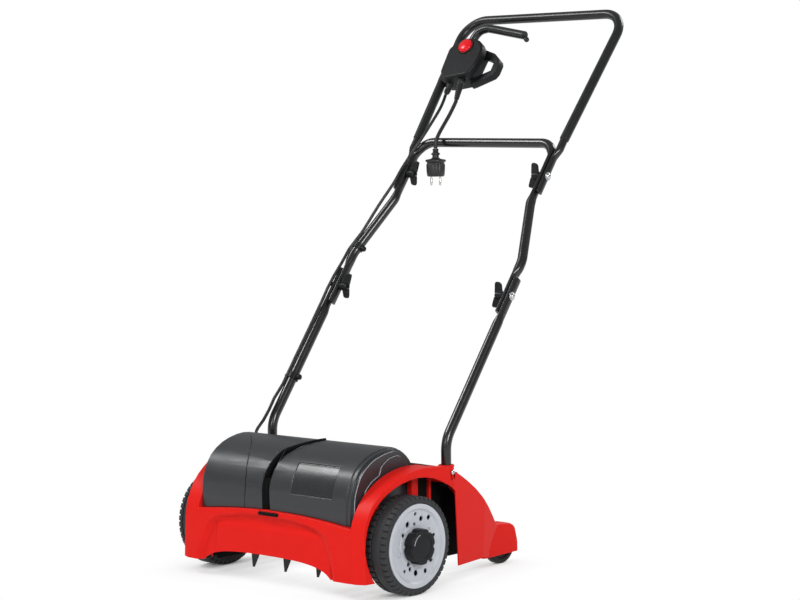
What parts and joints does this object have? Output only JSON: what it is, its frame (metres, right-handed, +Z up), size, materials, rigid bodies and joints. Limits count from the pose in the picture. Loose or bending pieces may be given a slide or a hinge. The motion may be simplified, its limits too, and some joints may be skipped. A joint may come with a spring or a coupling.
{
  "type": "lawn scarifier",
  "caption": "Electric lawn scarifier with a low housing over a bladed drum, two large front wheels, two small rear wheels and a long folding tube handle.",
  "frame": {"origin": "on the ground, midway between the two sides and midway along the machine's length", "axes": "+Z up, the housing's front towards -Y, the handle leaning back towards +Y, width along X"},
  "size_m": [0.572, 0.8544, 1.0912],
  "materials": {
    "red_shell": "glossy moulded plastic",
    "hood_grey": "fine-grained dark grey plastic",
    "black_plastic": "matt black plastic",
    "rear_wheel_black": "matt black plastic",
    "tube_black": "gloss black powder coat",
    "grip_foam": "satin black sleeve",
    "tyre": "black rubber",
    "rim_grey": "light grey plastic",
    "steel": "zinc plated",
    "motor_steel": "plain steel",
    "blade_steel": "dark coated steel",
    "belt_rubber": "ribbed belt",
    "cord_rubber": "matt black rubber",
    "button_red": "glossy red plastic"
  },
  "bodies": {
    "chassis": {"deck": "red_shell", "hood": "hood_grey", "hood_latch": "black_plastic", "flap_hinge_pin": "steel", "motor_housing": "motor_steel", "drive_belt": "belt_rubber", "drum_bearing_left": "steel", "drum_bearing_right": "steel", "rear_axle_left": "steel", "rear_axle_right": "steel", "lower_bar_left": "tube_black", "lower_bar_right": "tube_black", "socket_screw_left": "steel", "socket_screw_right": "steel", "joint_bolt_lower_left": "steel", "joint_bolt_lower_right": "steel", "cable_clip_lower": "black_plastic", "deck_gland": "black_plastic", "motor_cable": "cord_rubber"},
    "flap": {"rear_flap": "black_plastic"},
    "drum": {"drum_shaft": "steel", "blade_stack": "blade_steel", "drum_pulley": "black_plastic"},
    "rotor": {"motor_shaft": "steel", "motor_pulley": "black_plastic"},
    "middle_handle": {"middle_bar": "tube_black", "joint_bolt_upper_left": "steel", "joint_bolt_upper_right": "steel", "cable_clip_upper": "black_plastic"},
    "upper_handle": {"upper_bar": "tube_black", "grip_sleeve": "grip_foam", "switch_box_front": "black_plastic", "switch_box_rear": "black_plastic", "cable_hook": "black_plastic", "cable_gland": "black_plastic", "strain_relief": "cord_rubber", "mains_cord": "cord_rubber", "mains_plug": "cord_rubber", "plug_pin_left": "steel", "plug_pin_right": "steel"},
    "lever": {"start_lever": "black_plastic"},
    "button": {"stop_button": "button_red"},
    "depth_adjuster_left": {"depth_axle_left": "steel"},
    "front_wheel_left": {"tyre_left": "tyre", "rim_left": "rim_grey"},
    "depth_knob_left": {"depth_knob_left": "black_plastic"},
    "rear_wheel_left": {"rear_wheel_left": "rear_wheel_black"},
    "lower_nut_left": {"wing_nut_lower_left": "black_plastic"},
    "upper_nut_left": {"wing_nut_upper_left": "black_plastic"},
    "depth_adjuster_right": {"depth_axle_right": "steel"},
    "front_wheel_right": {"tyre_right": "tyre", "rim_right": "rim_grey"},
    "depth_knob_right": {"depth_knob_right": "black_plastic"},
    "rear_wheel_right": {"rear_wheel_right": "rear_wheel_black"},
    "lower_nut_right": {"wing_nut_lower_right": "black_plastic"},
    "upper_nut_right": {"wing_nut_upper_right": "black_plastic"}
  },
  "joints": [
    {"name": "lower_fold", "type": "hinge", "parent": "chassis", "child": "middle_handle", "pos_m": [0, 0.01148, 0.5305], "axis": [1, 0, 0], "range_deg": [0, 145], "deforming": ["motor_cable"]},
    {"name": "upper_fold", "type": "hinge", "parent": "middle_handle", "child": "upper_handle", "pos_m": [0, 0.17811, 0.75652], "axis": [1, 0, 0], "range_deg": [-145, 0], "deforming": ["motor_cable", "mains_cord"]},
    {"name": "flap_hinge", "type": "hinge", "parent": "chassis", "child": "flap", "pos_m": [0, -0.12393, 0.1862], "axis": [1, 0, 0], "range_deg": [0, 85]},
    {"name": "drum_spin", "type": "hinge", "parent": "chassis", "child": "drum", "pos_m": [0, -0.34693, 0.078], "axis": [1, 0, 0], "continuous": true},
    {"name": "motor_spin", "type": "hinge", "parent": "chassis", "child": "rotor", "pos_m": [0, -0.28193, 0.202], "axis": [1, 0, 0], "continuous": true},
    {"name": "lever_squeeze", "type": "hinge", "parent": "upper_handle", "child": "lever", "pos_m": [0, 0.3436, 0.99952], "axis": [1, 0, 0], "range_deg": [-22, 0], "stiffness_Nm_per_rad": 0.4, "springref_deg": 8.59},
    {"name": "button_press", "type": "slide", "parent": "upper_handle", "child": "button", "axis": [0, 0.8049, -0.5934], "range_m": [0, 0.0035], "stiffness_N_per_m": 400, "springref_m": -0.001},
    {"name": "depth_turn_left", "type": "hinge", "parent": "chassis", "child": "depth_adjuster_left", "pos_m": [0, -0.31193, 0.104], "axis": [1, 0, 0], "range_deg": [0, 135]},
    {"name": "wheel_spin_left", "type": "hinge", "parent": "depth_adjuster_left", "child": "front_wheel_left", "pos_m": [0, -0.31193, 0.092], "axis": [1, 0, 0], "continuous": true},
    {"name": "knob_pull_left", "type": "slide", "parent": "depth_adjuster_left", "child": "depth_knob_left", "axis": [-1, 0, 0], "range_m": [0, 0.008], "stiffness_N_per_m": 600, "springref_m": -0.002},
    {"name": "rear_wheel_spin_left", "type": "hinge", "parent": "chassis", "child": "rear_wheel_left", "pos_m": [0, 0.03157, 0.039], "axis": [1, 0, 0], "continuous": true},
    {"name": "lower_nut_turn_left", "type": "hinge", "parent": "chassis", "child": "lower_nut_left", "pos_m": [0, 0.01148, 0.5305], "axis": [1, 0, 0], "continuous": true},
    {"name": "upper_nut_turn_left", "type": "hinge", "parent": "middle_handle", "child": "upper_nut_left", "pos_m": [0, 0.17811, 0.75652], "axis": [1, 0, 0], "continuous": true},
    {"name": "depth_turn_right", "type": "hinge", "parent": "chassis", "child": "depth_adjuster_right", "pos_m": [0, -0.31193, 0.104], "axis": [1, 0, 0], "range_deg": [0, 135]},
    {"name": "wheel_spin_right", "type": "hinge", "parent": "depth_adjuster_right", "child": "front_wheel_right", "pos_m": [0, -0.31193, 0.092], "axis": [1, 0, 0], "continuous": true},
    {"name": "knob_pull_right", "type": "slide", "parent": "depth_adjuster_right", "child": "depth_knob_right", "axis": [1, 0, 0], "range_m": [0, 0.008], "stiffness_N_per_m": 600, "springref_m": -0.002},
    {"name": "rear_wheel_spin_right", "type": "hinge", "parent": "chassis", "child": "rear_wheel_right", "pos_m": [0, 0.03157, 0.039], "axis": [1, 0, 0], "continuous": true},
    {"name": "lower_nut_turn_right", "type": "hinge", "parent": "chassis", "child": "lower_nut_right", "pos_m": [0, 0.01148, 0.5305], "axis": [1, 0, 0], "continuous": true},
    {"name": "upper_nut_turn_right", "type": "hinge", "parent": "middle_handle", "child": "upper_nut_right", "pos_m": [0, 0.17811, 0.75652], "axis": [1, 0, 0], "continuous": true}
  ],
  "couplings": [
    {"joint": "motor_spin", "follows": "drum_spin", "ratio": 2.3333}
  ]
}
